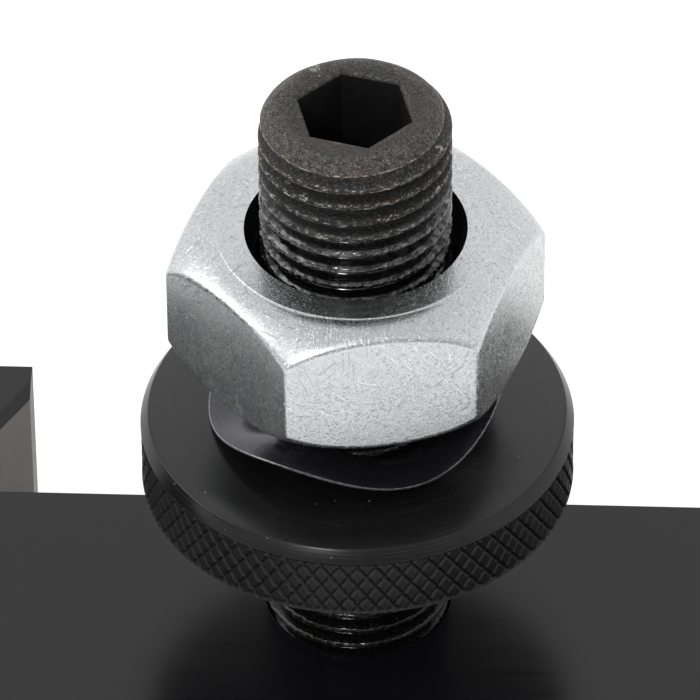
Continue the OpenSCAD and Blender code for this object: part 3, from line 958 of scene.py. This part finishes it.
def make_post_body():
    low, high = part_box("post_body")
    half, chamfer, top_edge = high.x / MM, 7.0, 0.8
    face, z_low, z_high = -low.y / MM, low.z / MM, high.z / MM
    face_half, relief_r = 22.8, 0.55
    sleeve_bore, bush_bore, piston_bore, pin_bore = 17.0, 10.05, 8.05, 1.55
    root_half = face_half - (face - half) / math.tan(math.radians(DOVETAIL_ANGLE))
    block = [(-half, -half), (half, -half), (half, half - chamfer), (half - chamfer, half),
             (-half, half)]
    inset = (half - top_edge) / half
    levels = ((1.0, z_low), (1.0, z_high - top_edge), (inset, z_high))
    piece = ring_solid("post_body", [[Vector((x * k, y * k, z)) * MM for x, y in block]
                                     for k, z in levels])
    shape = [(-root_half, -half + 2), (-root_half, -half), (-face_half, -face),
             (face_half, -face), (root_half, -half), (root_half, -half + 2)]
    for turn in (0, -90):
        to_face = Matrix.Rotation(math.radians(turn), 4, "Z")
        places = [to_face @ Vector((x, y, 0)) * MM for x, y in shape]
        outline = [(place.x, place.y) for place in places]
        combine(piece, prism("dovetail", outline, low.z, high.z - top_edge * MM), "UNION")
        for side in (-1, 1):
            root = to_face @ Vector((side * (root_half + 0.15), -half - 0.1, 0)) * MM
            cut(piece, rod_cutter(relief_r, z_low - 1, z_high - top_edge, root, steps=24))
    cut(piece, rod_cutter(sleeve_bore, z_low + 6, z_high + 1, steps=144))
    cut(piece, rod_cutter(bush_bore, z_low - 1, z_high + 1, steps=144))
    for turn in (TO_FRONT, TO_SIDE):
        bore = [(piston_bore, 5.0), (piston_bore, face - 0.5), (piston_bore + 1, face + 0.5)]
        cut(piece, turned("cutter", bore, (0, 0, PISTON_Z * MM), steps=96, turn=turn))
    cut(piece, rod_cutter(pin_bore, z_high - 7, z_high + 1, (PIN.x, PIN.y, 0), steps=32))
    soften(piece, 0.25, segments=2)
    finish_piece(piece, "post", "post_body", "black_ground", GROUND, GROUND_EDGE)


def make_center_bush():
    z_low, z_high = heights_of("center_bush")
    flange = SLEEVE_LOW - 3.2
    outer, inner, rim = 10.0, 7.05, 14.0
    profile = [(inner + 0.4, z_low), (outer - 0.4, z_low), (outer, z_low + 0.4), (outer, flange),
               (rim - 0.3, flange), (rim, flange + 0.3), (rim, flange + 2.7),
               (rim - 0.3, flange + 3), (outer, flange + 3), (outer, z_high - 0.4),
               (outer - 0.4, z_high), (inner + 0.4, z_high), (inner, z_high - 0.4),
               (inner, z_low + 0.4)]
    piece = turned("center_bush", profile, loop=True)
    finish_piece(piece, "post", "center_bush", "bright_steel", BRIGHT_POST)


def make_stop_pin():
    z_low, z_high = heights_of("stop_pin")
    radius, dome = 1.5, 1.1
    profile = ([(radius - dome + rx, z) for rx, z in arc(0, z_low + dome, dome, -88, 0, 6)]
               + [(radius - dome + rx, z) for rx, z in arc(0, z_high - dome, dome, 0, 88, 6)])
    piece = turned("stop_pin", profile, (PIN.x, PIN.y, 0), steps=48)
    finish_piece(piece, "post", "stop_pin", "bright_steel", DRAWN)


CAM_LOW, CAM_RISE, CAM_TURN = 13.5, 1.2, 75


def cam_radius(angle, start):
    """Cam radius round from one piston: a spiral rise over the handle's turn, then low again."""
    turned_by = (math.degrees(angle) - start) % 360
    if turned_by < CAM_TURN:
        return CAM_LOW + CAM_RISE * turned_by / CAM_TURN
    return CAM_LOW + (CAM_RISE if turned_by < CAM_TURN + 1 else 0)


def make_cam_sleeve():
    low, journal, bore, edge = SLEEVE_LOW, 16.95, 10.05, 1.0
    band_low, band_high = PISTON_Z - 4.5, PISTON_Z + 4.5
    angles = circle_angles(288)
    cam = lambda a: max(cam_radius(a, 180), cam_radius(a, 270))
    rounding = [(HUB_R - edge + rx, z) for rx, z in arc(0, HUB_TOP - edge, edge, 0, 90, 6)]
    lower = [(journal - 0.4, low), (journal, low + 0.4), (journal, band_low)]
    upper = ([(journal, band_high), (journal, HUB_LOW), (HUB_R - 0.4, HUB_LOW),
              (HUB_R, HUB_LOW + 0.4)] + rounding
             + [(bore + 1.6, HUB_TOP), (bore + 1.5, HUB_TOP - 0.4), (bore + 0.3, HUB_TOP - 0.4),
                (bore, HUB_TOP - 0.7), (bore, low + 0.4), (bore + 0.4, low)])
    band = [lathe_ring(angles, cam, lambda a: z) for z in (band_low, band_high)]
    rows = round_rings(angles, lower) + band + round_rings(angles, upper)
    piece = ring_solid("cam_sleeve", rows, loop=True, sharp=32)
    inner, outer, start, sweep, steps = 18.1, 21.9, 128.5, 88.0, 36
    turns = [math.radians(start + sweep * i / steps) for i in range(steps + 1)]
    slot = ([(inner * MM * math.cos(a), inner * MM * math.sin(a)) for a in turns]
            + [(outer * MM * math.cos(a), outer * MM * math.sin(a)) for a in reversed(turns)])
    cut(piece, prism("cutter", slot, (HUB_LOW - 1) * MM, (HUB_LOW + 3.2) * MM))
    hole = [(ROD_R + 0.02, 13.5), (ROD_R + 0.02, HUB_R / math.cos(HANDLE_RISE) + 3)]
    cut(piece, turned("cutter", hole, (0, 0, ROD_AXIS_Z * MM), steps=96, turn=TO_HANDLE))
    piece.data.set_sharp_from_angle(angle=math.radians(32))
    finish_piece(piece, "lever", "cam_sleeve", "black_turned", TURNED_POST)


def make_handle():
    rod_low, rod_high, groove = 14.0, 69.0, 28.0
    place = (0, 0, ROD_AXIS_Z * MM)
    rod = turned("handle_rod", [(ROD_R - 1, rod_low), (ROD_R, rod_low + 1), (ROD_R, groove),
                                (ROD_R - 0.4, groove + 0.25), (ROD_R - 0.4, groove + 1.25),
                                (ROD_R, groove + 1.5), (ROD_R, rod_high - 1),
                                (ROD_R - 1, rod_high)], place, turn=TO_HANDLE, steps=96)
    finish_piece(rod, "lever", "handle_rod", "bright_steel", DRAWN)
    start, finish, neck, swell = 54.0, 84.0, 6.0, 8.75
    body = [(neck + (swell - neck) * math.sin(math.radians(a)),
             start + 1 + (finish - start - 1 - swell) * a / 90) for a in range(0, 90, 5)]
    profile = ([(0.05, rod_high + 0.2), (ROD_R + 0.02, rod_high + 0.2),
                (ROD_R + 0.02, start + 0.4), (ROD_R + 0.4, start)]
               + [(neck - 0.6 + rx, z) for rx, z in arc(0, start + 0.6, 0.6, -90, -10, 4)]
               + body + arc(0, finish - swell, swell, 0, 89.5, 16))
    knob = turned("handle_knob", profile, place, turn=TO_HANDLE, steps=96, sharp=40)
    finish_piece(knob, "lever", "handle_knob", "black_plastic", phenolic())


def make_pistons():
    face = -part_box("piston_front")[0].y / MM
    back, nose, nose_end = 18.6, 2.5, 13.9
    profile = [(nose - 0.6, nose_end), (nose, nose_end + 0.6), (nose, back), (7.6, back),
               (8.0, back + 0.4), (8.0, face - 0.6), (7.9, face - 0.25), (7.6, face - 0.03),
               (7.4, face), (1.6, face), (1.5, face - 0.12), (0.4, face - 1.4)]
    for node, body, turn, axis in (("piston_front", "front_piston", TO_FRONT, "Y"),
                                   ("piston_side", "side_piston", TO_SIDE, "X")):
        piece = turned(node, profile, (0, 0, PISTON_Z * MM), turn=turn)
        steel = bright_steel((0, 0, PISTON_Z * MM), f"bright_{node}", axis)
        finish_piece(piece, body, node, "bright_steel", steel)


def make_top_washer():
    z_low, z_high = heights_of("top_washer")
    outer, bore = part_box("top_washer")[1].x / MM, 7.3
    profile = [(bore + 0.4, z_low), (outer - 0.4, z_low), (outer, z_low + 0.4),
               (outer, z_high - 0.7), (outer - 0.2, z_high - 0.25), (outer - 0.7, z_high),
               (bore + 0.5, z_high), (bore, z_high - 0.5), (bore, z_low + 0.4)]
    piece = turned("top_washer", profile, loop=True)
    finish_piece(piece, "washer_stack", "top_washer", "bright_steel", BRIGHT_POST)


def make_center_nut():
    flats, bore, sink, turn = 22.0, 6.99, 8.0, 0.0
    piece = hex_nut("center_nut", POST_AXIS, flats, bore, POST_PITCH, sink, turn, flat_ratio=0.44)
    finish_piece(piece, "top_nut", "center_nut", "bright_steel",
                 bright_steel(POST_AXIS, "bright_nut"), INSIDE_PAINTED_SHADE)
    # The countersink and threaded bore get near-black painted shade
    paint_faces(piece, 1, lambda f: off_axis(f, POST_AXIS) < sink - 0.05)


make_t_nut()
make_center_stud()
make_post_body()
make_center_bush()
make_stop_pin()
make_cam_sleeve()
make_handle()
make_pistons()
make_top_washer()
make_center_nut()


# ---- studio

WHITE = (1.0, 1.0, 1.0, 1)


def make_floor():
    mesh = bpy.data.meshes.new("floor")
    size = 6.0
    corners = [(x, y, 0) for x, y in rectangle(-size, -size, size, size)]
    mesh.from_pydata(corners, [], [(0, 1, 2, 3)])
    floor = add_object("floor", mesh)
    paint = Paint("floor")
    soft = paint.noise(3, 2)
    mesh.materials.append(paint.finish(paint.mix(soft, 0.80, 0.82), 0.9, Specular_IOR_Level=0.1,
                                       Emission_Color=WHITE, Emission_Strength=0.30))


def make_light(name, place, aim, size, power):
    data = bpy.data.lights.new(name, "AREA")
    data.shape = "RECTANGLE"
    data.size, data.size_y = size
    data.energy = power
    light = bpy.data.objects.new(name, data)
    light.location = place
    light.rotation_mode = "QUATERNION"
    light.rotation_quaternion = (Vector(aim) - Vector(place)).to_track_quat("-Z", "Y")
    light.visible_camera = False
    bpy.context.collection.objects.link(light)


def make_world():
    """Soft white surround, a little dimmer straight overhead and dimmer still low in front."""
    paint = Paint("studio", bpy.data.worlds, "Background", "Generated")
    toward = paint.node("SeparateXYZ", {"Vector": paint.coords}).outputs
    overhead = paint.span(toward["Z"], 0.72, 0.97, 1.15, 0.88, "SMOOTHSTEP")
    front = paint.span(toward["Y"], -0.9, -0.2, 0.44, 1.0, "SMOOTHSTEP")
    paint.feed(paint.shader.inputs["Color"], WHITE)
    paint.feed(paint.shader.inputs["Strength"], paint.times(overhead, front))
    bpy.context.scene.world = paint.owner


make_floor()
make_world()
focus = (HX, HY, HOLDER_TOP)
make_light("key", (HX - 0.25, HY - 0.75, 0.75), focus, (0.14, 0.14), 4.5)
make_light("side", (HX - 1.1, HY + 0.1, 0.8), focus, (1.0, 1.0), 7)
bpy.context.scene.view_settings.view_transform = "Standard"
